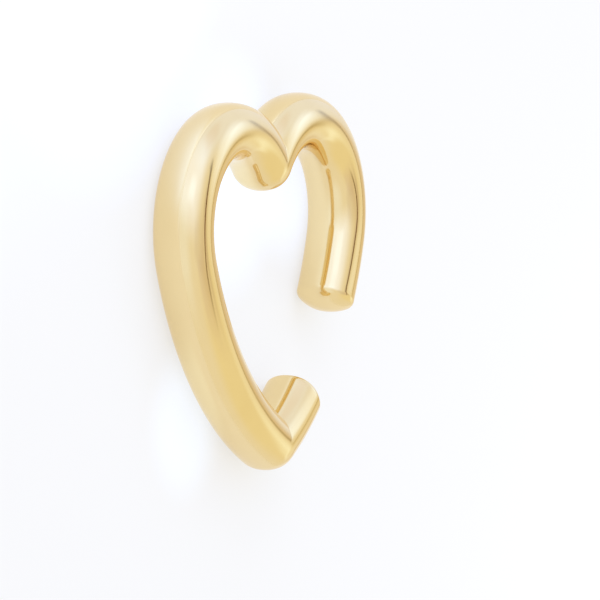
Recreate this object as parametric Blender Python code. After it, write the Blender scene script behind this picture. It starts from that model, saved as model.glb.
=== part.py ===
"""Heart-shaped open ear cuff, one solid, lying on its side with the heart's front up.

The cuff is one oval rod bent into a heart. The heart's left side is whole, from the
cleft over the left lobe and down the flank to the tip. On the right, the lobe comes
down as an arm and a short stub rises from the tip, with a gap between their domed
ends for the rim of an ear.

World axes: X to the heart's right, Y up the heart, Z out of its front face. The heart
lies on z = 0 on the narrow flat along its back, with its outline centred on x = y = 0.
Lengths below are in millimetres and are turned into metres once, in MM.
"""

import math

import bmesh
import bpy
import numpy as np

MM = 0.001

# Line of the rod: each half runs from the cleft over a lobe and down a flank to the tip
LOBE_CENTRE_X = 2.95
LOBE_TOP_Y = 11.8
LOBE_INNER_RADIUS = 3.7
LOBE_OUTER_RADIUS = 3.55
FLANK_RADIUS = 12.3

# Bends on the middle line: the side of the rod that faces away from each is rounded
CLEFT_BEND_RADIUS = 0.15
TIP_BEND_RADIUS = 0.35

# Rod section: a little squarer than an ellipse
ROD_THICKNESS = 2.1
ROD_DEPTH = 2.17
SECTION_POWER = 2.25
SECTION_SIDES = 28

# Right-hand side: lengths along the middle line, and the domes beyond them
ARM_LENGTH = 12.2
STUB_LENGTH = 2.53
DOME_HEIGHT = 0.74
DOME_POWER = 2.5
DOME_FLAT_SHARE = 0.3

# Stations along the rod
BEND_REACH = 2.6
BEND_STATIONS = 11
STATION_STEP = 0.42
DOME_STATIONS = 7
LINE_STEP = 0.01

COLLECTION_NAME = "heart_ear_cuff"
NODE_NAME = "heart_cuff"
MATERIAL_NAME = "polished_gold"
GOLD_COLOUR = (0.93, 0.74, 0.40, 1.0)
GOLD_ROUGHNESS = 0.08


def clear_objects():
    """Remove every object and mesh that the new scene came with."""
    for item in list(bpy.data.objects):
        bpy.data.objects.remove(item, do_unlink=True)
    for mesh in list(bpy.data.meshes):
        bpy.data.meshes.remove(mesh)


def arc_points(centre, radius, start, end):
    """Return points and unit directions of travel along an arc.

    A falling angle travels clockwise. Points lie about LINE_STEP apart.
    """
    count = max(2, int(math.ceil(abs(end - start) * radius / LINE_STEP)) + 1)
    angles = np.linspace(start, end, count)
    spokes = np.stack([np.cos(angles), np.sin(angles)], axis=1)
    turn = math.copysign(1.0, end - start)
    headings = np.stack([-spokes[:, 1], spokes[:, 0]], axis=1) * turn
    return centre + spokes * radius, headings


def flank_centre(lobe_centre):
    """Return the centre of the flank arc, which touches the lobe arc and ends at the tip."""
    from_lobe = FLANK_RADIUS - LOBE_OUTER_RADIUS
    reach = float(np.linalg.norm(lobe_centre))
    along = (FLANK_RADIUS ** 2 - from_lobe ** 2 + reach ** 2) / (2.0 * reach)
    across = math.sqrt(FLANK_RADIUS ** 2 - along ** 2)
    towards = lobe_centre / reach
    sideways = np.array([towards[1], -towards[0]])
    choices = [towards * along + sideways * across, towards * along - sideways * across]
    return min(choices, key=lambda spot: spot[0])


def round_corner(points, headings, radius):
    """Replace the sharp start of a line at x = 0 by an arc that leaves it squarely.

    The arc's centre lies on x = 0, so that the mirrored half carries on smoothly.
    """
    sides = np.stack([-headings[:, 1], headings[:, 0]], axis=1)
    if sides[0, 0] > 0.0:
        sides = -sides
    centres_x = points[:, 0] + radius * sides[:, 0]
    first = int(np.argmax(centres_x > 0.0))
    centre = points[first] + radius * sides[first]
    centre[0] = 0.0
    spoke = points[first] - centre
    end = math.atan2(spoke[1], spoke[0])
    start = math.copysign(math.pi / 2.0, end)
    count = 16
    angles = np.linspace(start, end, count)[:-1]
    spokes = np.stack([np.cos(angles), np.sin(angles)], axis=1)
    turn = math.copysign(1.0, end - start)
    arc_headings = np.stack([-spokes[:, 1], spokes[:, 0]], axis=1) * turn
    new_points = np.concatenate([centre + spokes * radius, points[first:]])
    new_headings = np.concatenate([arc_headings, headings[first:]])
    return new_points, new_headings


def half_line():
    """Return points, headings and distances of the right half's middle line, cleft to tip."""
    inner_centre = np.array([LOBE_CENTRE_X, LOBE_TOP_Y - LOBE_INNER_RADIUS])
    lobe_centre = np.array([LOBE_CENTRE_X, LOBE_TOP_Y - LOBE_OUTER_RADIUS])
    low_centre = flank_centre(lobe_centre)
    cleft_angle = math.acos(-LOBE_CENTRE_X / LOBE_INNER_RADIUS)
    join = lobe_centre - low_centre
    join_angle = math.atan2(join[1], join[0])
    tip_angle = math.atan2(-low_centre[1], -low_centre[0])
    pieces = [
        arc_points(inner_centre, LOBE_INNER_RADIUS, cleft_angle, math.pi / 2.0),
        arc_points(lobe_centre, LOBE_OUTER_RADIUS, math.pi / 2.0, join_angle),
        arc_points(low_centre, FLANK_RADIUS, join_angle, tip_angle),
    ]
    points = np.concatenate([pieces[0][0]] + [piece[0][1:] for piece in pieces[1:]])
    headings = np.concatenate([pieces[0][1]] + [piece[1][1:] for piece in pieces[1:]])
    points, headings = round_corner(points, headings, CLEFT_BEND_RADIUS)
    points, headings = round_corner(points[::-1], -headings[::-1], TIP_BEND_RADIUS)
    points, headings = points[::-1], -headings[::-1]
    steps = np.linalg.norm(np.diff(points, axis=0), axis=1)
    return points, headings, np.concatenate([[0.0], np.cumsum(steps)])


def section_outline():
    """Return the section's corners: distance outwards from the heart, and height.

    The corners straddle the top, bottom and both sides, so each of those is a flat.
    """
    angles = (np.arange(SECTION_SIDES) + 0.5) * 2.0 * math.pi / SECTION_SIDES
    power = 2.0 / SECTION_POWER
    outwards = np.sign(np.cos(angles)) * np.abs(np.cos(angles)) ** power
    upwards = np.sign(np.sin(angles)) * np.abs(np.sin(angles)) ** power
    outwards *= 0.5 * ROD_THICKNESS / outwards.max()
    upwards *= 0.5 * ROD_DEPTH / upwards.max()
    return outwards, upwards


def offset_line(line, outwards):
    """Return the middle line moved sideways, outwards from the heart."""
    points, headings, _ = line
    sides = np.stack([-headings[:, 1], headings[:, 0]], axis=1)
    return points + sides * outwards


def trimmed(moved, distances, start, end):
    """Return the stretch of a moved line from start to end that stays on the right.

    On the inner side of a bend the moved line dips across x = 0. It is cut where it
    crosses for good, which is where the mirrored half meets it in a sharp valley.
    """
    keep = (distances >= start) & (distances <= end)
    run = moved[keep]
    middle = len(run) // 2
    low = 0
    high = len(run) - 1
    if start == 0.0:
        left = np.nonzero(run[:middle, 0] < 0.0)[0]
        low = int(left[-1]) if len(left) else 0
    if end == distances[-1]:
        left = np.nonzero(run[middle:, 0] < 0.0)[0]
        high = middle + int(left[0]) if len(left) else high
    run = run[low:high + 1].copy()
    for index, inner in ((0, 1), (-1, -2)):
        on_plane = (index == 0 and start == 0.0) or (index == -1 and end == distances[-1])
        if on_plane and run[index, 0] < 0.0:
            share = run[index, 0] / (run[index, 0] - run[inner, 0])
            run[index] = run[index] + share * (run[inner] - run[index])
        if on_plane:
            run[index, 0] = 0.0
    return run


def spread(run, count):
    """Return count + 1 points spaced evenly along a run of points."""
    steps = np.linalg.norm(np.diff(run, axis=0), axis=1)
    lengths = np.concatenate([[0.0], np.cumsum(steps)])
    wanted = np.linspace(0.0, lengths[-1], count + 1)
    return np.stack([np.interp(wanted, lengths, run[:, axis]) for axis in (0, 1)], axis=1)


def station_list(line, start, end):
    """Return the stretches of the middle line between start and end, with their counts."""
    last = line[2][-1]
    stretches = []
    low = start
    high = end
    if start == 0.0:
        low = BEND_REACH
        stretches.append((start, low, BEND_STATIONS))
    tail = []
    if end == last:
        high = max(low, last - BEND_REACH) if start == 0.0 else start
        tail.append((high, last, BEND_STATIONS))
    if high > low:
        count = int(math.ceil((high - low) / STATION_STEP))
        edges = np.linspace(low, high, count + 1)
        stretches += [(edges[i], edges[i + 1], 1) for i in range(count)]
    return stretches + tail


def with_marks(line, marks):
    """Return the middle line with a point added at each marked distance."""
    points, headings, distances = line
    merged = np.union1d(distances, np.array(marks))
    new_points = np.stack([np.interp(merged, distances, points[:, i]) for i in (0, 1)], axis=1)
    new_headings = np.stack([np.interp(merged, distances, headings[:, i]) for i in (0, 1)], axis=1)
    new_headings /= np.linalg.norm(new_headings, axis=1)[:, None]
    return new_points, new_headings, merged


def swept_rings(line, start, end):
    """Return the rod's rings from start to end of the right half, as (ring, corner, xyz)."""
    stretches = station_list(line, start, end)
    marks = [edge for stretch in stretches for edge in stretch[:2]]
    line = with_marks(line, marks)
    outwards, upwards = section_outline()
    total = sum(stretch[2] for stretch in stretches) + 1
    rings = np.zeros((total, SECTION_SIDES, 3))
    for corner in range(SECTION_SIDES):
        moved = offset_line(line, outwards[corner])
        runs = []
        for low, high, count in stretches:
            part = spread(trimmed(moved, line[2], low, high), count)
            runs.append(part if not runs else part[1:])
        rings[:, corner, :2] = np.concatenate(runs)
        rings[:, corner, 2] = upwards[corner]
    return rings


def dome_rings(line, distance, direction):
    """Return the rings of the dome beyond an end of the rod, without the end's own ring."""
    points, headings, distances = line
    centre = np.array([np.interp(distance, distances, points[:, i]) for i in (0, 1)])
    heading = np.array([np.interp(distance, distances, headings[:, i]) for i in (0, 1)])
    heading /= np.linalg.norm(heading)
    side = np.array([-heading[1], heading[0]])
    outwards, upwards = section_outline()
    last = math.acos(DOME_FLAT_SHARE ** (DOME_POWER / 2.0))
    rings = []
    for angle in np.linspace(0.0, last, DOME_STATIONS + 1)[1:]:
        share = math.cos(angle) ** (2.0 / DOME_POWER)
        rise = DOME_HEIGHT * math.sin(angle) ** (2.0 / DOME_POWER)
        spot = centre + direction * rise * heading
        ring = np.zeros((SECTION_SIDES, 3))
        ring[:, :2] = spot + share * outwards[:, None] * side
        ring[:, 2] = share * upwards
        rings.append(ring)
    return np.array(rings)


def cuff_rings():
    """Return every ring of the cuff in order, from the arm's dome to the stub's dome."""
    line = half_line()
    last = line[2][-1]
    whole_half = swept_rings(line, 0.0, last)
    left_half = whole_half * np.array([-1.0, 1.0, 1.0])
    arm = swept_rings(line, 0.0, ARM_LENGTH)
    stub = swept_rings(line, last - STUB_LENGTH, last)
    arm_dome = dome_rings(line, ARM_LENGTH, 1.0)
    stub_dome = dome_rings(line, last - STUB_LENGTH, -1.0)
    rings = [arm_dome[::-1], arm[::-1], left_half[1:], stub[::-1][1:], stub_dome]
    return np.concatenate(rings)


def lay_down(rings):
    """Return the rings in metres, resting on z = 0 and centred on x = y = 0."""
    flat = rings.reshape(-1, 3)
    low = flat.min(axis=0)
    high = flat.max(axis=0)
    middle = 0.5 * (low + high)
    return (rings - np.array([middle[0], middle[1], low[2]])) * MM


def skin(rings, name):
    """Return a closed mesh over the rings, with a flat face inside the first and the last.

    A curve's own bevel crosses itself on the inner side of the cleft and of the tip, and
    leaves no clean valley there, so the rod is lofted from rings trimmed at the valley.
    """
    work = bmesh.new()
    loops = [[work.verts.new(tuple(spot)) for spot in ring] for ring in rings]
    for near, far in zip(loops, loops[1:]):
        for corner in range(SECTION_SIDES):
            after = (corner + 1) % SECTION_SIDES
            work.faces.new((near[corner], near[after], far[after], far[corner]))
    work.faces.new(loops[0])
    work.faces.new(loops[-1])
    bmesh.ops.recalc_face_normals(work, faces=work.faces)
    for face in work.faces:
        face.smooth = True
    mesh = bpy.data.meshes.new(name)
    work.to_mesh(mesh)
    work.free()
    return mesh


def gold_material():
    """Return the polished gold of the whole cuff."""
    material = bpy.data.materials.new(MATERIAL_NAME)
    material.use_nodes = True
    shader = material.node_tree.nodes["Principled BSDF"]
    shader.inputs["Base Color"].default_value = GOLD_COLOUR
    shader.inputs["Metallic"].default_value = 1.0
    shader.inputs["Roughness"].default_value = GOLD_ROUGHNESS
    material.diffuse_color = GOLD_COLOUR
    return material


def main():
    """Build the cuff in its own collection."""
    clear_objects()
    mesh = skin(lay_down(cuff_rings()), NODE_NAME)
    mesh.materials.append(gold_material())
    cuff = bpy.data.objects.new(NODE_NAME, mesh)
    collection = bpy.data.collections.new(COLLECTION_NAME)
    bpy.context.scene.collection.children.link(collection)
    collection.objects.link(cuff)


main()
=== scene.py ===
"""Heart-shaped open ear cuff in mirror-polished pale gold, lying on a pale board.

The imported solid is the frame. This script dresses it: it sweeps the same rod finely
along the same heart line with Geometry Nodes, gives it its polished gold, and sets the
board, the soft studio light and the camera. Everything is in metres, in the row frame:
X to the heart's right, Y up the heart, Z out of its front face.
"""

import logging
import math
from dataclasses import dataclass, field
from enum import Enum

import bpy
import numpy as np
from mathutils import Matrix, Vector

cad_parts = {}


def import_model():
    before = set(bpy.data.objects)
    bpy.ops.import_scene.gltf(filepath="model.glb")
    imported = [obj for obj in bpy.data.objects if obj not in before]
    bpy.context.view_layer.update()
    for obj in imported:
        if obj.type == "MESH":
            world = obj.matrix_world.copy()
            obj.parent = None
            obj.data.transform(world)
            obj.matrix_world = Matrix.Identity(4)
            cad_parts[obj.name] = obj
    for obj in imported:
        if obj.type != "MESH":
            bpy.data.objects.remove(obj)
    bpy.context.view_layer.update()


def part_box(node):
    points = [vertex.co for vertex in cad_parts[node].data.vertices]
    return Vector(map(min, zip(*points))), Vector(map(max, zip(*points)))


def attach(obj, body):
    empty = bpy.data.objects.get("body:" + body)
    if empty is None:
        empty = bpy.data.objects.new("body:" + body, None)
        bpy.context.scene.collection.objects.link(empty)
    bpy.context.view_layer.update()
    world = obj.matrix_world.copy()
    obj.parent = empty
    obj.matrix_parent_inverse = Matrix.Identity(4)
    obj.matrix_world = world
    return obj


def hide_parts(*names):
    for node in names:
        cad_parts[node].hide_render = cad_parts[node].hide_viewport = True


MM = 0.001
ROOT_BODY = "root"
CUFF_NODE = "heart_cuff"

log = logging.getLogger("ear_cuff")

Colour = tuple[float, float, float]
# What an input socket takes: another node's output, or a value of its own.
Feed = bpy.types.NodeSocket | Vector | float | str


class SplineRole(Enum):
    """The three runs of rod that meet at the cleft and at the tip, in spline order."""

    WHOLE_SIDE = 0
    ARM = 1
    STUB = 2


class PointNote(Enum):
    """Notes kept on the rod's points while it is swept, by their data types."""

    SIDE = "FLOAT"
    HEADING = "FLOAT_VECTOR"
    BEYOND = "BOOLEAN"


def named_socket(node: bpy.types.Node, identifier: str) -> bpy.types.NodeSocket:
    """Return a node's input socket by its identifier."""
    return next(socket for socket in node.inputs if socket.identifier == identifier)


class NodeChain:
    """Short hand for building a node tree: makes nodes and joins their sockets."""

    def __init__(self, tree: bpy.types.NodeTree) -> None:
        """Start on a tree.

        Args:
            tree: The shader or geometry tree to add nodes to.
        """
        self.tree = tree

    def add(self, kind: str, **settings: object) -> bpy.types.Node:
        """Add a node.

        Args:
            kind: The node's Blender type name.
            **settings: Properties to set on the node.

        Returns:
            The new node.
        """
        node = self.tree.nodes.new(kind)
        for name, value in settings.items():
            setattr(node, name, value)
        return node

    def feed(self, target: bpy.types.NodeSocket, source: Feed) -> None:
        """Join a source to an input socket, or set the socket's own value.

        Args:
            target: The input socket.
            source: An output socket, or the value to set.
        """
        if isinstance(source, bpy.types.NodeSocket):
            self.tree.links.new(source, target)
        elif isinstance(source, Vector):
            target.default_value = tuple(source)
        else:
            target.default_value = source

    def math(self, operation: str, *terms: Feed) -> bpy.types.NodeSocket:
        """Return the result of a Math node.

        Args:
            operation: The operation's name.
            *terms: Sockets or numbers for its inputs.

        Returns:
            The output socket.
        """
        node = self.add("ShaderNodeMath", operation=operation)
        for target, term in zip(node.inputs, terms):
            self.feed(target, term)
        return node.outputs[0]

    def vector(self, operation: str, *terms: Feed) -> bpy.types.Node:
        """Return a Vector Math node with its inputs fed.

        Args:
            operation: The operation's name.
            *terms: Sockets or vectors for its inputs.

        Returns:
            The node, whose outputs are a vector and a value.
        """
        node = self.add("ShaderNodeVectorMath", operation=operation)
        for target, term in zip(node.inputs, terms):
            self.feed(target, term)
        return node

    def add_scaled(
        self, base: Feed, extra: Colour, share: Feed, label: str
    ) -> bpy.types.NodeSocket:
        """Return a colour with a share of another colour added to it.

        Args:
            base: The colour so far, a socket or a vector.
            extra: The colour to add.
            share: How much of it to add.
            label: What the extra colour stands for, written on its node.

        Returns:
            The sum as an output socket.
        """
        scaled = self.vector("SCALE", Vector(extra))
        scaled.label = label
        self.feed(scaled.inputs["Scale"], share)
        return self.vector("ADD", base, scaled.outputs["Vector"]).outputs["Vector"]

    def smooth_step(
        self, value: Feed, low: float, high: float, top: float = 1.0
    ) -> bpy.types.NodeSocket:
        """Return 0 below low, top above high, and a smooth rise between them.

        Args:
            value: Socket or number to test.
            low: Where the rise starts.
            high: Where it ends.
            top: The result above high.

        Returns:
            The output socket.
        """
        node = self.add("ShaderNodeMapRange", interpolation_type="SMOOTHSTEP")
        for name, term in (("Value", value), ("From Min", low), ("From Max", high)):
            self.feed(node.inputs[name], term)
        node.inputs["To Max"].default_value = top
        return node.outputs["Result"]

    def within(self, angle: Feed, extent: float, softness: float) -> bpy.types.NodeSocket:
        """Return 1 where an angle lies inside an extent and 0 outside, with a soft edge.

        Args:
            angle: Angle from the extent's middle, in radians.
            extent: Its full width, in degrees.
            softness: Width of its soft edge, in degrees.

        Returns:
            The output socket.
        """
        half, soft = (0.5 * math.radians(width) for width in (extent, softness))
        return self.smooth_step(self.math("ABSOLUTE", angle), half + soft, half - soft)

    def through(
        self,
        kind: str,
        geometry: bpy.types.NodeSocket,
        values: dict[str, Feed] | None = None,
        **settings: object,
    ) -> bpy.types.NodeSocket:
        """Pass a geometry through a node.

        Args:
            kind: The node's Blender type name.
            geometry: The geometry.
            values: What to feed to the node's other inputs, by their names.
            **settings: Properties to set on the node.

        Returns:
            The new geometry.
        """
        node = self.add(kind, **settings)
        self.feed(node.inputs["Geometry"], geometry)
        for name, value in (values or {}).items():
            self.feed(node.inputs[name], value)
        return node.outputs["Geometry"]

    def store(
        self, geometry: bpy.types.NodeSocket, note: PointNote, value: Feed
    ) -> bpy.types.NodeSocket:
        """Keep a note on each point of a geometry.

        Args:
            geometry: The geometry.
            note: Which note.
            value: What to keep.

        Returns:
            The geometry with the note.
        """
        values = {"Name": note.name, "Value": value}
        kind = "GeometryNodeStoreNamedAttribute"
        return self.through(kind, geometry, values, data_type=note.value)

    def read(self, note: PointNote) -> bpy.types.NodeSocket:
        """Return what store kept."""
        node = self.add("GeometryNodeInputNamedAttribute", data_type=note.value)
        node.inputs["Name"].default_value = note.name
        return node.outputs["Attribute"]

    def parts(self, vector: bpy.types.NodeSocket) -> tuple[bpy.types.NodeSocket, ...]:
        """Return the X, Y and Z of a vector."""
        node = self.add("ShaderNodeSeparateXYZ")
        self.feed(node.inputs["Vector"], vector)
        return tuple(node.outputs)


@dataclass(frozen=True)
class HeartLine:
    """Middle line of the right half of the heart, from the cleft to the tip.

    Each half is a lobe of two arcs and one long flank arc. The bends at the cleft and the
    tip have small radii on the middle line, so the far side of the rod is rounded there.
    """

    lobe_centre_x: float = 2.95 * MM
    lobe_top_y: float = 11.8 * MM
    lobe_inner_radius: float = 3.7 * MM
    lobe_outer_radius: float = 3.55 * MM
    flank_radius: float = 12.3 * MM
    cleft_bend_radius: float = 0.15 * MM
    tip_bend_radius: float = 0.35 * MM
    fine_step: float = 0.01 * MM

    def arc(
        self, centre: np.ndarray, radius: float, start: float, end: float
    ) -> tuple[np.ndarray, np.ndarray]:
        """Sample one arc.

        Args:
            centre: The arc's centre.
            radius: Its radius.
            start: Angle at which it starts; a falling angle travels clockwise.
            end: Angle at which it ends.

        Returns:
            Points and unit directions of travel.
        """
        count = max(2, math.ceil(abs(end - start) * radius / self.fine_step) + 1)
        angles = np.linspace(start, end, count)
        spokes = np.stack([np.cos(angles), np.sin(angles)], axis=1)
        turn = math.copysign(1.0, end - start)
        headings = np.stack([-spokes[:, 1], spokes[:, 0]], axis=1) * turn
        return centre + spokes * radius, headings

    def flank_centre(self, lobe_centre: np.ndarray) -> np.ndarray:
        """Find the centre of the flank arc, which touches the lobe and ends at the tip.

        Args:
            lobe_centre: Centre of the lobe's outer arc.

        Returns:
            The flank arc's centre.
        """
        from_lobe = self.flank_radius - self.lobe_outer_radius
        reach = float(np.linalg.norm(lobe_centre))
        along = (self.flank_radius**2 - from_lobe**2 + reach**2) / (2.0 * reach)
        across = math.sqrt(self.flank_radius**2 - along**2)
        towards = lobe_centre / reach
        sideways = np.array([towards[1], -towards[0]])
        choices = [towards * along + sideways * across, towards * along - sideways * across]
        return min(choices, key=lambda spot: spot[0])

    def rounded(
        self, points: np.ndarray, headings: np.ndarray, radius: float
    ) -> tuple[np.ndarray, np.ndarray]:
        """Round the sharp start of a line at x = 0, so that it leaves that plane squarely.

        Args:
            points: Points of the line.
            headings: Its directions of travel.
            radius: Radius of the bend.

        Returns:
            The new points and directions.
        """
        sides = np.stack([-headings[:, 1], headings[:, 0]], axis=1)
        # The bend's centre lies on the side that faces x = 0.
        if sides[0, 0] > 0.0:
            sides = -sides
        reach = points[:, 0] + radius * sides[:, 0]
        first = int(np.argmax(reach > 0.0))
        share = reach[first - 1] / (reach[first - 1] - reach[first])
        last_point, side = (
            rows[first - 1] + share * (rows[first] - rows[first - 1]) for rows in (points, sides)
        )
        centre = last_point + radius * side
        centre[0] = 0.0
        spoke = last_point - centre
        end = math.atan2(spoke[1], spoke[0])
        start = math.copysign(math.pi / 2.0, end)
        bend_points, bend_headings = self.arc(centre, radius, start, end)
        return (
            np.concatenate([bend_points, points[first:]]),
            np.concatenate([bend_headings, headings[first:]]),
        )

    def trace(self) -> tuple[np.ndarray, np.ndarray, np.ndarray]:
        """Trace the right half from the cleft to the tip.

        Returns:
            Points, unit directions of travel, and distances along the line.
        """
        inner = np.array([self.lobe_centre_x, self.lobe_top_y - self.lobe_inner_radius])
        lobe = np.array([self.lobe_centre_x, self.lobe_top_y - self.lobe_outer_radius])
        flank = self.flank_centre(lobe)
        cleft_angle = math.acos(-self.lobe_centre_x / self.lobe_inner_radius)
        join_angle = math.atan2(lobe[1] - flank[1], lobe[0] - flank[0])
        tip_angle = math.atan2(-flank[1], -flank[0])
        pieces = [
            self.arc(inner, self.lobe_inner_radius, cleft_angle, math.pi / 2.0),
            self.arc(lobe, self.lobe_outer_radius, math.pi / 2.0, join_angle),
            self.arc(flank, self.flank_radius, join_angle, tip_angle),
        ]
        points, headings = (
            np.concatenate([first, *(later[1:] for later in rest)])
            for first, *rest in zip(*pieces)
        )
        points, headings = self.rounded(points, headings, self.cleft_bend_radius)
        points, headings = self.rounded(points[::-1], -headings[::-1], self.tip_bend_radius)
        points, headings = points[::-1], -headings[::-1]
        steps = np.linalg.norm(np.diff(points, axis=0), axis=1)
        return points, headings, np.concatenate([[0.0], np.cumsum(steps)])


@dataclass(frozen=True)
class GoldFinish:
    """Pale yellow gold, polished to a mirror, with the faint life of a worn jewel.

    A range gives the noise values between which an effect sets in.
    """

    name: str = "polished_pale_gold"
    colour: Colour = (0.865, 0.69, 0.375)
    deeper_colour: Colour = (0.835, 0.655, 0.345)
    deeper_range: tuple[float, float] = (0.35, 0.75)
    deeper_share: float = 0.6
    edge_tint: Colour = (1.0, 0.97, 0.93)
    roughness: float = 0.09
    worn_roughness: float = 0.13
    worn_range: tuple[float, float] = (0.45, 0.85)
    worn_share: float = 0.5
    haze_size: float = 2.2 * MM
    haze_detail: float = 3.0
    ripple_size: float = 0.9 * MM
    ripple_height: float = 0.0006 * MM
    mark_length: float = 1.6 * MM
    mark_width: float = 0.03 * MM
    mark_height: float = 0.00008 * MM
    mark_range: tuple[float, float] = (0.62, 0.74)
    mark_turns: tuple[float, float] = (28.0, -52.0)
    mark_dulling: float = 0.35

    def noise(
        self, chain: NodeChain, place: bpy.types.NodeSocket, size: float, detail: float = 1.0
    ) -> bpy.types.NodeSocket:
        """Add one layer of noise.

        Args:
            chain: The material's node chain.
            place: Coordinates to read.
            size: Size of the noise's features.
            detail: Number of finer octaves.

        Returns:
            The noise value, about 0 to 1.
        """
        node = chain.add("ShaderNodeTexNoise")
        node.inputs["Scale"].default_value = 1.0 / size
        node.inputs["Detail"].default_value = detail
        chain.feed(node.inputs["Vector"], place)
        return node.outputs["Fac"]

    def polishing_marks(
        self, chain: NodeChain, place: bpy.types.NodeSocket, turn: float
    ) -> bpy.types.NodeSocket:
        """Add fine straight marks left by the polishing wheel, in one direction.

        Args:
            chain: The material's node chain.
            place: Coordinates to read.
            turn: Direction of the marks about Z, in degrees.

        Returns:
            The marks' height, 0 to 1.
        """
        mapping = chain.add("ShaderNodeMapping")
        mapping.inputs["Rotation"].default_value = (0.0, 0.0, math.radians(turn))
        mapping.inputs["Scale"].default_value = (
            1.0 / self.mark_length,
            1.0 / self.mark_width,
            1.0 / self.mark_width,
        )
        chain.feed(mapping.inputs["Vector"], place)
        streaks = self.noise(chain, mapping.outputs["Vector"], 1.0)
        return chain.smooth_step(streaks, *self.mark_range)

    def relief(
        self, chain: NodeChain, height: bpy.types.NodeSocket, distance: float
    ) -> bpy.types.Node:
        """Add a Bump node of full strength.

        Args:
            chain: The material's node chain.
            height: Height of the relief, about 0 to 1.
            distance: Real height that 1 stands for.

        Returns:
            The node.
        """
        node = chain.add("ShaderNodeBump")
        node.inputs["Strength"].default_value = 1.0
        node.inputs["Distance"].default_value = distance
        chain.feed(node.inputs["Height"], height)
        return node

    def build(self) -> bpy.types.Material:
        """Build the material.

        Returns:
            The polished gold.
        """
        material = bpy.data.materials.new(self.name)
        material.use_nodes = True
        material.diffuse_color = (*self.colour, 1.0)
        chain = NodeChain(material.node_tree)
        shader = material.node_tree.nodes["Principled BSDF"]
        shader.inputs["Metallic"].default_value = 1.0
        shader.inputs["Specular Tint"].default_value = (*self.edge_tint, 1.0)
        place = chain.add("ShaderNodeTexCoord").outputs["Object"]
        haze = self.noise(chain, place, self.haze_size, self.haze_detail)
        marks = chain.math(
            "MAXIMUM", *(self.polishing_marks(chain, place, turn) for turn in self.mark_turns)
        )

        tint = chain.add("ShaderNodeMix", data_type="RGBA")
        deeper = chain.smooth_step(haze, *self.deeper_range, self.deeper_share)
        chain.feed(tint.inputs["Factor"], deeper)
        tint.inputs["A"].default_value = (*self.colour, 1.0)
        tint.inputs["B"].default_value = (*self.deeper_colour, 1.0)
        chain.feed(shader.inputs["Base Color"], tint.outputs["Result"])

        worn = chain.smooth_step(haze, *self.worn_range, self.worn_share)
        dull = chain.math("MAXIMUM", worn, chain.math("MULTIPLY", marks, self.mark_dulling))
        rough = chain.add("ShaderNodeMapRange")
        chain.feed(rough.inputs["Value"], dull)
        rough.inputs["To Min"].default_value = self.roughness
        rough.inputs["To Max"].default_value = self.worn_roughness
        chain.feed(shader.inputs["Roughness"], rough.outputs["Result"])

        waves = self.noise(chain, place, self.ripple_size)
        ripple = self.relief(chain, waves, self.ripple_height)
        scratches = self.relief(chain, marks, self.mark_height)
        scratches.invert = True
        chain.feed(scratches.inputs["Normal"], ripple.outputs["Normal"])
        chain.feed(shader.inputs["Normal"], scratches.outputs["Normal"])
        return material


def at_distances(spots: float | np.ndarray, distances: np.ndarray, rows: np.ndarray) -> np.ndarray:
    """Interpolate rows of X and Y kept along a line.

    Args:
        spots: One distance or an array of distances.
        distances: Distance of each row along the line.
        rows: The rows.

    Returns:
        X and Y at each spot.
    """
    return np.stack([np.interp(spots, distances, rows[:, axis]) for axis in (0, 1)], axis=-1)


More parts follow.
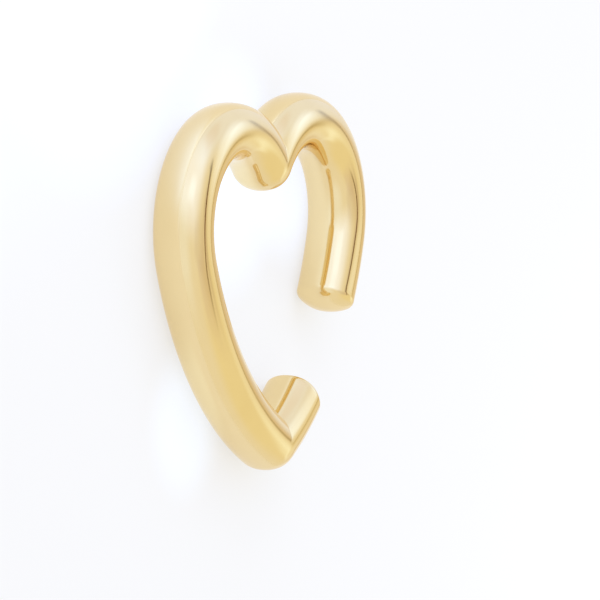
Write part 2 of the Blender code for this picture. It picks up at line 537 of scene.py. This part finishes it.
@dataclass
class HeartRod:
    """The cuff's rod: an oval section swept along the heart, with domed ends."""

    line: HeartLine = field(default_factory=HeartLine)
    finish: GoldFinish = field(default_factory=GoldFinish)
    thickness: float = 2.1 * MM
    depth: float = 2.17 * MM
    corner_fullness: float = 0.039
    section_sides: int = 96
    arm_length: float = 12.2 * MM
    stub_length: float = 2.53 * MM
    dome_height: float = 0.74 * MM
    dome_wall: float = 0.2 * MM
    dome_edge_radius: float = 0.3 * MM
    dome_edge_stations: int = 14
    dome_cap_stations: int = 20
    dome_end_share: float = 0.03
    bend_turn: float = math.radians(3.0)
    bend_reach: float = 2.4 * MM
    bend_step: float = 0.04 * MM
    plain_step: float = 0.09 * MM
    clear_share: float = 0.3
    square_start: float = 0.002 * MM
    plane_width: float = 0.00002 * MM
    weld_distance: float = 0.000005 * MM
    crease_angle: float = math.radians(30.0)
    name: str = "polished_rod"

    def bend_stations(self, radius: float) -> list[float]:
        """Choose where rings stand near a bend: every few degrees in it, then wider apart.

        Args:
            radius: The bend's radius on the middle line.

        Returns:
            Rising distances from the middle of the bend.
        """
        turn = radius * self.bend_turn
        spots = [0.0, self.square_start]
        while spots[-1] < self.bend_reach:
            spots.append(spots[-1] + (turn if spots[-1] < radius else self.bend_step))
        return spots

    def stations(self, total: float) -> np.ndarray:
        """Choose where rings stand, closer together near the cleft and the tip.

        Both halves share these stations, so that their rings meet on x = 0.

        Args:
            total: Length of the half line.

        Returns:
            Rising distances, from the cleft to the tip.
        """
        from_cleft = self.bend_stations(self.line.cleft_bend_radius)
        from_tip = self.bend_stations(self.line.tip_bend_radius)
        first, last = from_cleft[-1], total - from_tip[-1]
        count = math.ceil((last - first) / self.plain_step)
        plain = np.linspace(first, last, count + 1)[1:-1]
        return np.concatenate([from_cleft, plain, total - np.array(from_tip[::-1])])

    def dome_profile(self) -> tuple[np.ndarray, np.ndarray]:
        """Lay out a domed end: a short wall, a small rounded edge and a shallow cap.

        Returns:
            Distances beyond the plain rod, and the share of the section's size at each.
        """
        half = 0.5 * self.thickness
        edge = self.dome_edge_radius
        rise = self.dome_height - self.dome_wall - edge
        drop = ((half - edge) ** 2 - rise**2) / (2.0 * rise)
        cap_radius = rise + edge + drop
        meet = math.atan2(drop, half - edge)
        turns = np.linspace(0.0, meet, self.dome_edge_stations)
        last = math.acos(self.dome_end_share * half / cap_radius)
        lifts = np.linspace(meet, last, self.dome_cap_stations + 1)[1:]
        widths = np.concatenate([half - edge + edge * np.cos(turns), cap_radius * np.cos(lifts)])
        rises = np.concatenate([edge * np.sin(turns), cap_radius * np.sin(lifts) - drop])
        return rises + self.dome_wall, widths / half

    def run(
        self, start: float, end: float, dome_at_start: bool, dome_at_end: bool
    ) -> tuple[np.ndarray, np.ndarray]:
        """Lay out one run of rod on the right half, with a dome where it has a free end.

        Args:
            start: First distance along the half line.
            end: Last distance; anything past the tip means the tip.
            dome_at_start: True to close the start with a dome.
            dome_at_end: True to close the end with a dome.

        Returns:
            Points in the plane, and the share of the section's size at each.
        """
        points, headings, distances = self.line.trace()
        total = float(distances[-1])
        end = min(end, total)
        spots = self.stations(total)
        # Rings that stand closer than this to the run's ends would crowd them.
        clear = self.clear_share * self.bend_step
        inside = (spots > start + clear) & (spots < end - clear)
        spots = np.concatenate([[start], spots[inside], [end]])
        if start == 0.0:
            spots = np.insert(spots, 1, self.square_start)
        if end == total:
            spots = np.insert(spots, -1, total - self.square_start)
        path = at_distances(spots, distances, points)
        for edge, inner, level in ((0, 1, start == 0.0), (-1, -2, end == total)):
            if level:
                path[edge, 0] = 0.0
                path[inner] = (self.square_start, path[edge, 1])
        shares = np.ones(len(path))
        rises, dome_shares = self.dome_profile()
        for wanted, spot, sign in ((dome_at_start, start, -1.0), (dome_at_end, end, 1.0)):
            if not wanted:
                continue
            centre = at_distances(spot, distances, points)
            heading = at_distances(spot, distances, headings)
            dome = centre + rises[:, None] * heading * sign / np.linalg.norm(heading)
            if sign < 0.0:
                path = np.concatenate([dome[::-1], path])
                shares = np.concatenate([dome_shares[::-1], shares])
            else:
                path = np.concatenate([path, dome])
                shares = np.concatenate([shares, dome_shares])
        return path, shares

    def runs(self) -> dict[SplineRole, tuple[np.ndarray, np.ndarray]]:
        """Lay out the rod's three runs.

        Returns:
            Points and section shares of each run.
        """
        total = float(self.line.trace()[2][-1])
        whole, whole_shares = self.run(0.0, total, False, False)
        return {
            SplineRole.WHOLE_SIDE: (whole * np.array([-1.0, 1.0]), whole_shares),
            SplineRole.ARM: self.run(0.0, self.arm_length, False, True),
            SplineRole.STUB: self.run(total - self.stub_length, total, True, False),
        }

    def height_of_middle(self) -> float:
        """Return how far up the line's own axes the middle of the outline lies."""
        top = self.line.lobe_top_y
        tip = float(self.line.trace()[0][-1][1])
        return 0.5 * (top + tip)

    def path_object(self) -> bpy.types.Object:
        """Build the curve that the rod is swept along.

        Returns:
            A curve object with one spline per run.
        """
        curve = bpy.data.curves.new(self.name, "CURVE")
        curve.dimensions = "3D"
        middle = self.height_of_middle()
        level = 0.5 * self.depth
        runs = self.runs()
        for role in SplineRole:
            path, shares = runs[role]
            spline = curve.splines.new("POLY")
            spline.points.add(len(path) - 1)
            for point, (x, y), share in zip(spline.points, path, shares):
                point.co = (x, y - middle, level, 1.0)
                point.radius = share
        path_object = bpy.data.objects.new(self.name + "_path", curve)
        bpy.context.scene.collection.objects.link(path_object)
        return path_object

    def section_nodes(
        self, chain: NodeChain, sizes: bpy.types.Node
    ) -> bpy.types.NodeSocket:
        """Add the rod's section: a unit circle pressed into a slightly squared oval.

        The fullness swells it most on the diagonals and not at all on its two axes.

        Args:
            chain: The tree's node chain.
            sizes: The tree's input node.

        Returns:
            The section as a closed curve.
        """
        circle = chain.add("GeometryNodeCurvePrimitiveCircle")
        chain.feed(circle.inputs["Resolution"], sizes.outputs["Sides"])
        circle.inputs["Radius"].default_value = 1.0
        x, y, _ = chain.parts(chain.add("GeometryNodeInputPosition").outputs[0])
        corner = chain.math("MULTIPLY", x, y)
        swell = chain.math("MULTIPLY", corner, chain.math("MULTIPLY", corner, 4.0))
        reach = chain.math("MULTIPLY_ADD", swell, sizes.outputs["Corner fullness"], 1.0)
        join = chain.add("ShaderNodeCombineXYZ")
        for axis, spot, size in (("X", x, "Thickness"), ("Y", y, "Depth")):
            half = chain.math("MULTIPLY", sizes.outputs[size], 0.5)
            full = chain.math("MULTIPLY", spot, reach)
            chain.feed(join.inputs[axis], chain.math("MULTIPLY", full, half))
        pressed = {"Position": join.outputs["Vector"]}
        return chain.through("GeometryNodeSetPosition", circle.outputs["Curve"], pressed)

    def swept_sizes(self) -> dict[str, float]:
        """Return the sweeping tree's sizes by the names of its inputs."""
        return {
            "Thickness": self.thickness,
            "Depth": self.depth,
            "Corner fullness": self.corner_fullness,
            "Plane width": self.plane_width,
            "Weld distance": self.weld_distance,
            "Crease angle": self.crease_angle,
        }

    def noted_path(
        self, chain: NodeChain, path: bpy.types.NodeSocket
    ) -> bpy.types.NodeSocket:
        """Set the path's normals and note each point's side of the heart and its heading.

        Args:
            chain: The tree's node chain.
            path: The curves of the three runs.

        Returns:
            The curves with their notes.
        """
        normals = chain.add("GeometryNodeSetCurveNormal", mode="Z_UP")
        chain.feed(normals.inputs["Curve"], path)
        run_of = chain.add("GeometryNodeCurveOfPoint")
        whole = chain.add("FunctionNodeCompare", data_type="INT", operation="EQUAL")
        chain.feed(named_socket(whole, "A_INT"), run_of.outputs["Curve Index"])
        named_socket(whole, "B_INT").default_value = SplineRole.WHOLE_SIDE.value
        side = chain.math("SUBTRACT", 1.0, chain.math("MULTIPLY", whole.outputs[0], 2.0))
        sided = chain.store(normals.outputs["Curve"], PointNote.SIDE, side)
        heading = chain.add("GeometryNodeInputTangent").outputs["Tangent"]
        return chain.store(sided, PointNote.HEADING, heading)

    def joined_halves(
        self, chain: NodeChain, sizes: bpy.types.Node, skin: bpy.types.NodeSocket
    ) -> bpy.types.NodeSocket:
        """Meet both halves of the swept skin in clean valleys.

        On the inner side of each bend the skin dips across the heart's middle plane.
        Faces that lie wholly beyond it are removed, the other points that crossed slide
        back along the rod until they lie on the plane, and the halves are welded there.

        Args:
            chain: The tree's node chain.
            sizes: The tree's input node.
            skin: The swept skin.

        Returns:
            The closed skin.
        """
        place = chain.add("GeometryNodeInputPosition").outputs[0]
        x = chain.parts(place)[0]
        own_side = chain.math("MULTIPLY", x, chain.read(PointNote.SIDE))
        crossed = chain.math("LESS_THAN", own_side, sizes.outputs["Plane width"])
        noted = chain.store(skin, PointNote.BEYOND, crossed)
        beyond = {"Selection": chain.read(PointNote.BEYOND)}
        delete = "GeometryNodeDeleteGeometry"
        trimmed = chain.through(delete, noted, beyond, domain="FACE", mode="ALL")

        heading = chain.read(PointNote.HEADING)
        travel = chain.vector("SCALE", heading)
        run_back = chain.math("DIVIDE", x, chain.parts(heading)[0])
        chain.feed(travel.inputs["Scale"], run_back)
        landed = chain.vector("SUBTRACT", place, travel.outputs["Vector"]).outputs["Vector"]
        flat = chain.vector("MULTIPLY", landed, Vector((0.0, 1.0, 1.0))).outputs["Vector"]
        moves = {**beyond, "Position": flat}
        slid = chain.through("GeometryNodeSetPosition", trimmed, moves)
        reach = {"Distance": sizes.outputs["Weld distance"]}
        return chain.through("GeometryNodeMergeByDistance", slid, reach)

    def sweep_tree(self) -> bpy.types.NodeTree:
        """Build the tree that sweeps the section along the three runs and joins them.

        Returns:
            The geometry node tree.
        """
        tree = bpy.data.node_groups.new("sweep_heart_rod", "GeometryNodeTree")
        face = tree.interface
        face.new_socket("Geometry", in_out="INPUT", socket_type="NodeSocketGeometry")
        for name in self.swept_sizes():
            face.new_socket(name, in_out="INPUT", socket_type="NodeSocketFloat")
        face.new_socket("Sides", in_out="INPUT", socket_type="NodeSocketInt")
        face.new_socket("Metal", in_out="INPUT", socket_type="NodeSocketMaterial")
        face.new_socket("Geometry", in_out="OUTPUT", socket_type="NodeSocketGeometry")
        chain = NodeChain(tree)
        sizes = chain.add("NodeGroupInput")

        sweep = chain.add("GeometryNodeCurveToMesh")
        sweep.inputs["Fill Caps"].default_value = True
        chain.feed(sweep.inputs["Curve"], self.noted_path(chain, sizes.outputs["Geometry"]))
        chain.feed(sweep.inputs["Profile Curve"], self.section_nodes(chain, sizes))
        chain.feed(sweep.inputs["Scale"], chain.add("GeometryNodeInputRadius").outputs[0])
        closed = self.joined_halves(chain, sizes, sweep.outputs["Mesh"])

        shade = "GeometryNodeSetShadeSmooth"
        smooth = chain.through(shade, closed, domain="FACE")
        fold = chain.add("GeometryNodeInputMeshEdgeAngle").outputs["Unsigned Angle"]
        gentle = {"Shade Smooth": chain.math("LESS_THAN", fold, sizes.outputs["Crease angle"])}
        creased = chain.through(shade, smooth, gentle, domain="EDGE")
        real = chain.through("GeometryNodeRealizeInstances", creased)
        metal = {"Material": sizes.outputs["Metal"]}
        dressed = chain.through("GeometryNodeSetMaterial", real, metal)
        end = chain.add("NodeGroupOutput")
        chain.feed(end.inputs["Geometry"], dressed)
        return tree

    def sweep(self, metal: bpy.types.Material) -> bpy.types.Mesh:
        """Sweep the rod and return it as a plain mesh.

        Args:
            metal: The rod's material.

        Returns:
            The closed mesh of the whole cuff.
        """
        path = self.path_object()
        modifier = path.modifiers.new("sweep", "NODES")
        tree = self.sweep_tree()
        modifier.node_group = tree
        values = {**self.swept_sizes(), "Sides": self.section_sides, "Metal": metal}
        for item in tree.interface.items_tree:
            if item.in_out == "INPUT" and item.name in values:
                modifier[item.identifier] = values[item.name]
        graph = bpy.context.evaluated_depsgraph_get()
        mesh = bpy.data.meshes.new_from_object(path.evaluated_get(graph), depsgraph=graph)
        mesh.name = self.name
        path.modifiers.remove(modifier)
        curve = path.data
        bpy.data.objects.remove(path, do_unlink=True)
        bpy.data.curves.remove(curve)
        for note in PointNote:
            mesh.attributes.remove(mesh.attributes[note.name])
        return mesh

    def build(self) -> bpy.types.Object:
        """Build the polished rod in place of the frame's plain solid.

        Returns:
            The rod's object.
        """
        rod = bpy.data.objects.new(self.name, self.sweep(self.finish.build()))
        bpy.context.scene.collection.objects.link(rod)
        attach(rod, ROOT_BODY)
        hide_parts(CUFF_NODE)
        return rod


@dataclass(frozen=True)
class Aim:
    """A direction in the studio, with the two directions square to it."""

    bearing: float
    rise: float
    turn: float = 0.0

    def axes(self) -> tuple[Vector, Vector, Vector]:
        """Return the direction itself, then its sideways and upward directions."""
        bearing, rise = math.radians(self.bearing), math.radians(self.rise)
        out = Vector(
            (
                math.cos(bearing) * math.cos(rise),
                math.sin(bearing) * math.cos(rise),
                math.sin(rise),
            )
        )
        sideways = Vector((-math.sin(bearing), math.cos(bearing), 0.0))
        sideways.rotate(Matrix.Rotation(math.radians(self.turn), 3, out))
        return out, sideways, out.cross(sideways)


@dataclass(frozen=True)
class SoftPanel:
    """A softly edged rectangular light, or a shade where its light is negative."""

    name: str
    aim: Aim
    width: float
    height: float
    softness: float
    light: Colour

    def cover(self, chain: NodeChain, direction: bpy.types.NodeSocket) -> bpy.types.NodeSocket:
        """Add the panel's share of every direction.

        Args:
            chain: The world's node chain.
            direction: Direction looked in.

        Returns:
            0 outside the panel, 1 inside, with soft edges.
        """
        out, sideways, upwards = self.aim.axes()
        ahead = chain.vector("DOT_PRODUCT", direction, out).outputs["Value"]
        shares = []
        for axis, extent in ((sideways, self.width), (upwards, self.height)):
            off = chain.vector("DOT_PRODUCT", direction, axis).outputs["Value"]
            angle = chain.math("ARCTAN2", off, ahead)
            shares.append(chain.within(angle, extent, self.softness))
        return chain.math("MULTIPLY", *shares)


@dataclass(frozen=True)
class CurvedEdge:
    """The thin dark gap where a curved sheet of the light tent ends.

    The gap is part of a circle round its aim: as many degrees from it as the opening says,
    with the middle of its span turned from the aim's sideways direction.
    """

    name: str
    aim: Aim
    opening: float
    width: float
    softness: float
    middle: float
    span: float
    end_softness: float
    light: Colour

    def cover(self, chain: NodeChain, direction: bpy.types.NodeSocket) -> bpy.types.NodeSocket:
        """Add the gap's share of every direction.

        Args:
            chain: The world's node chain.
            direction: Direction looked in.

        Returns:
            0 outside the gap, 1 inside, with soft edges and ends.
        """
        ahead, aside, above = (
            chain.vector("DOT_PRODUCT", direction, axis).outputs["Value"]
            for axis in self.aim.axes()
        )
        from_axis = chain.math("ARCCOSINE", ahead)
        off = chain.math("SUBTRACT", from_axis, math.radians(self.opening))
        round_axis = chain.math("ARCTAN2", above, aside)
        from_middle = chain.math("SUBTRACT", round_axis, math.radians(self.middle))
        wrapped = chain.math("WRAP", from_middle, math.pi, -math.pi)
        across = chain.within(off, self.width, self.softness)
        along = chain.within(wrapped, self.span, self.end_softness)
        return chain.math("MULTIPLY", across, along)


@dataclass(frozen=True)
class LowLight:
    """A small soft light just above the board, which the gold doesn't mirror."""

    name: str
    place: tuple[float, float, float]
    size: float
    power: float
    colour: Colour

    def build(self) -> bpy.types.Object:
        """Build the light, turned towards the cuff.

        Returns:
            The light's object.
        """
        lamp = bpy.data.lights.new(self.name, "AREA")
        lamp.shape = "SQUARE"
        lamp.size = self.size
        lamp.energy = self.power
        lamp.color = self.colour
        light = bpy.data.objects.new(self.name, lamp)
        place = Vector(self.place)
        turn = place.to_track_quat("Z", "Y").to_matrix().to_4x4()
        light.matrix_world = Matrix.Translation(place) @ turn
        light.visible_glossy = False
        light.visible_camera = False
        bpy.context.scene.collection.objects.link(light)
        return light


@dataclass(frozen=True)
class PaintedBoardPool:
    """A soft round pool of light painted into the board's glow, or a painted shade where its light is
    negative.

    It has its full light up to one distance from its middle and fades out to another.
    """

    name: str
    middle: tuple[float, float]
    full: float
    end: float
    light: Colour

    def add_to(
        self, chain: NodeChain, place: bpy.types.NodeSocket, glow: Feed
    ) -> bpy.types.NodeSocket:
        """Add the painted pool of light or shade to the board's glow.

        Args:
            chain: The board material's node chain.
            place: Coordinates to read.
            glow: The glow so far, a socket or a vector.

        Returns:
            The glow with the pool.
        """
        reach = chain.vector("DISTANCE", place, Vector((*self.middle, 0.0))).outputs["Value"]
        cover = chain.smooth_step(reach, self.end, self.full)
        return chain.add_scaled(glow, self.light, cover, self.name)


@dataclass
class Studio:
    """Pale light board, soft light tent, and the panels that shape the reflections."""

    tent_light: Colour = (0.94, 0.92, 0.855)
    backdrop: Colour = (0.97, 0.97, 0.965)
    board_colour: Colour = (0.30, 0.297, 0.294)
    board_glow: Colour = (0.635, 0.635, 0.635)
    board_roughness: float = 0.9
    board_gloss: float = 0.1
    board_size: float = 1.2
    # Pools of light and shade painted into the board's glow, where the gold mirrors the board.
    painted_board_pools: tuple[PaintedBoardPool, ...] = (
        PaintedBoardPool("wash_beyond_lobes", (-40.0 * MM, 70.0 * MM), 48 * MM, 74 * MM, (0.11, 0.26, 0.66)),
        PaintedBoardPool("shade_before_tip", (0.0, -160.0 * MM), 115 * MM, 150 * MM, (-0.03, -0.04, -0.10)),
        PaintedBoardPool("pool_in_hollow", (-0.8 * MM, 4.2 * MM), 0.5 * MM, 5.5 * MM, (0.15, 0.26, 0.49)),
        PaintedBoardPool("pool_by_arm", (4.6 * MM, 3.6 * MM), 1.0 * MM, 4.0 * MM, (0.10, 0.15, 0.26)),
        PaintedBoardPool("pool_by_left_lobe", (-10.5 * MM, 13.5 * MM), 4.5 * MM, 10.5 * MM, (0.08, 0.19, 0.56)),
        PaintedBoardPool("pool_by_flank", (-4.4 * MM, -4.6 * MM), 1.0 * MM, 3.5 * MM, (0.06, 0.10, 0.16)),
    )
    near_lights: tuple[LowLight, ...] = (
        LowLight("light_beyond_lobes", (-0.01, 0.045, 0.02), 0.03, 0.006, (0.9, 0.96, 1.0)),
        LowLight("light_beyond_mouth", (0.045, -0.02, 0.02), 0.03, 0.004, (0.9, 0.96, 1.0)),
    )
    panels: tuple[SoftPanel | CurvedEdge, ...] = (
        SoftPanel("top_window", Aim(128, 28), 64, 90, 46, (0.18, 0.34, 0.89)),
        SoftPanel("window_heart", Aim(136, 35), 20, 26, 16, (0.11, 0.20, 0.45)),
        SoftPanel("right_fill", Aim(53, 17, 12), 100, 70, 32, (0.04, 0.145, 0.49)),
        SoftPanel("left_fill", Aim(184, 0), 90, 68, 34, (0.05, 0.12, 0.28)),
        SoftPanel("back_glow", Aim(18, 40), 25, 18, 18, (0.16, 0.30, 0.69)),
        SoftPanel("crown_glow", Aim(9, 33, 5), 19, 11, 7, (0.11, 0.22, 0.47)),
        SoftPanel("low_glow", Aim(-23, 20, 15), 23, 26, 13, (0.19, 0.32, 0.49)),
        SoftPanel("warm_side", Aim(-42, 47), 88, 58, 38, (0.01, -0.03, -0.20)),
        SoftPanel("fill_gap", Aim(75, 26), 26, 30, 14, (-0.03, -0.09, -0.19)),
        SoftPanel("overhead_shade", Aim(-2, 57, 45), 28, 10, 10, (-0.22, -0.25, -0.17)),
        SoftPanel("zenith_shade", Aim(-94, 81), 48, 26, 14, (-0.08, -0.10, -0.10)),
        SoftPanel("front_shade", Aim(-60, 68), 51, 21, 14, (-0.08, -0.10, -0.03)),
        SoftPanel("low_shade", Aim(-16, 14, -5), 32, 22, 9, (-0.15, -0.26, -0.42)),
        CurvedEdge("tent_edge", Aim(0, 90), 31.2, 4.6, 2.6, -87, 77, 28, (-0.58, -0.58, -0.52)),
        CurvedEdge("scrim_edge", Aim(0, 90), 66.5, 2.6, 1.6, -88, 22, 12, (-0.40, -0.42, -0.40)),
    )

    def build_world(self) -> None:
        """Build the studio's surrounding light, plain to the camera itself."""
        world = bpy.data.worlds.new("soft_studio")
        world.use_nodes = True
        bpy.context.scene.world = world
        world.node_tree.nodes.clear()
        chain = NodeChain(world.node_tree)
        direction = chain.add("ShaderNodeTexCoord").outputs["Generated"]
        total: Feed = Vector(self.tent_light)
        for panel in self.panels:
            cover = panel.cover(chain, direction)
            total = chain.add_scaled(total, panel.light, cover, panel.name)
        studio = chain.add("ShaderNodeBackground")
        chain.feed(studio.inputs["Color"], total)
        plain = chain.add("ShaderNodeBackground")
        plain.inputs["Color"].default_value = (*self.backdrop, 1.0)
        choose = chain.add("ShaderNodeMixShader")
        seen = chain.add("ShaderNodeLightPath").outputs["Is Camera Ray"]
        chain.feed(choose.inputs[0], seen)
        chain.feed(choose.inputs[1], studio.outputs[0])
        chain.feed(choose.inputs[2], plain.outputs[0])
        end = chain.add("ShaderNodeOutputWorld")
        chain.feed(end.inputs["Surface"], choose.outputs[0])

    def board_material(self) -> bpy.types.Material:
        """Build the board's matt surface, lit from behind with an even glow and its painted pools of
        light and shade.

        Returns:
            The board's material.
        """
        material = bpy.data.materials.new("lit_pale_board")
        material.use_nodes = True
        shader = material.node_tree.nodes["Principled BSDF"]
        shader.inputs["Roughness"].default_value = self.board_roughness
        shader.inputs["Specular IOR Level"].default_value = self.board_gloss
        shader.inputs["Base Color"].default_value = (*self.board_colour, 1.0)
        chain = NodeChain(material.node_tree)
        place = chain.add("ShaderNodeTexCoord").outputs["Object"]
        glow: Feed = Vector(self.board_glow)
        # Paint the pools of light and shade into the glow.
        for pool in self.painted_board_pools:
            glow = pool.add_to(chain, place, glow)
        chain.feed(shader.inputs["Emission Color"], glow)
        shader.inputs["Emission Strength"].default_value = 1.0
        return material

    def build_board(self) -> bpy.types.Object:
        """Build the pale, faintly glowing board that the cuff lies on.

        Returns:
            The board's object, staged.
        """
        half = 0.5 * self.board_size
        mesh = bpy.data.meshes.new("pale_board")
        corners = [(-half, -half, 0.0), (half, -half, 0.0), (half, half, 0.0), (-half, half, 0.0)]
        mesh.from_pydata(corners, [], [(0, 1, 2, 3)])
        mesh.materials.append(self.board_material())
        board = bpy.data.objects.new("pale_board", mesh)
        bpy.context.scene.collection.objects.link(board)
        return board

    def build(self) -> None:
        """Build the whole studio."""
        self.build_world()
        self.build_board()
        for lamp in self.near_lights:
            lamp.build()
        view = bpy.context.scene.view_settings
        view.view_transform = "Standard"
        view.look = "None"


@dataclass(frozen=True)
class PhotoCamera:
    """Camera at the photograph's angle to the cuff: long lens, to the heart's front left.

    Angles are about the heart as the photograph shows it, standing on its tip: turn to
    its left from straight ahead, rise above its middle, and the picture's slight roll.
    The cuff's middle lands on the given pixel of the 600 by 600 frame.
    """

    turn: float = 64.09
    rise: float = 5.25
    roll: float = 0.91
    distance: float = 219.8 * MM
    pixels_per_metre: float = 27005.0
    middle_pixel: tuple[float, float] = (263.27, 284.18)
    frame_pixels: float = 600.0
    sensor_width: float = 36.0
    clip_shares: tuple[float, float] = (0.1, 10.0)

    def axes(self) -> tuple[Vector, Vector, Vector]:
        """Work out the camera's axes.

        Returns:
            Unit vectors to the camera's right, up, and from the cuff to the camera.
        """
        turn, rise, roll = (math.radians(angle) for angle in (self.turn, self.rise, self.roll))
        back = Vector(
            (
                -math.sin(turn) * math.cos(rise),
                math.sin(rise),
                math.cos(turn) * math.cos(rise),
            )
        )
        level_right = Vector((0.0, 1.0, 0.0)).cross(back).normalized()
        level_up = back.cross(level_right)
        right = level_right * math.cos(roll) - level_up * math.sin(roll)
        up = level_right * math.sin(roll) + level_up * math.cos(roll)
        return right, up, back

    def build(self, middle: Vector) -> bpy.types.Object:
        """Build the camera and make it the scene's.

        Args:
            middle: Middle of the cuff, in the row frame.

        Returns:
            The camera's object.
        """
        right, up, back = self.axes()
        focal_pixels = self.pixels_per_metre * self.distance
        data = bpy.data.cameras.new("photo_camera")
        data.sensor_width = self.sensor_width
        data.lens = self.sensor_width * focal_pixels / self.frame_pixels
        data.clip_start, data.clip_end = (share * self.distance for share in self.clip_shares)
        half = 0.5 * self.frame_pixels
        aside = (self.middle_pixel[0] - half) / focal_pixels
        above = (half - self.middle_pixel[1]) / focal_pixels
        ahead = (-back - right * aside - up * above).normalized()
        level_right = ahead.cross(up).normalized()
        level_up = level_right.cross(ahead)
        turn = Matrix((level_right, level_up, -ahead)).transposed()
        camera = bpy.data.objects.new("photo_camera", data)
        camera.matrix_world = Matrix.Translation(middle + back * self.distance) @ turn.to_4x4()
        bpy.context.scene.collection.objects.link(camera)
        bpy.context.scene.camera = camera
        return camera


def main() -> None:
    """Load the frame, build the cuff, its studio and its camera, and note their sizes."""
    logging.basicConfig(level=logging.INFO, format="%(name)s: %(message)s")
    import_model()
    low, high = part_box(CUFF_NODE)
    rod = HeartRod().build()
    log.info("%s: %d faces", rod.name, len(rod.data.polygons))
    Studio().build()
    log.info("studio: board and soft light")
    camera = PhotoCamera().build((Vector(low) + Vector(high)) * 0.5)
    log.info("%s: %.0f mm lens", camera.name, camera.data.lens)


if __name__ == "__main__":
    main()
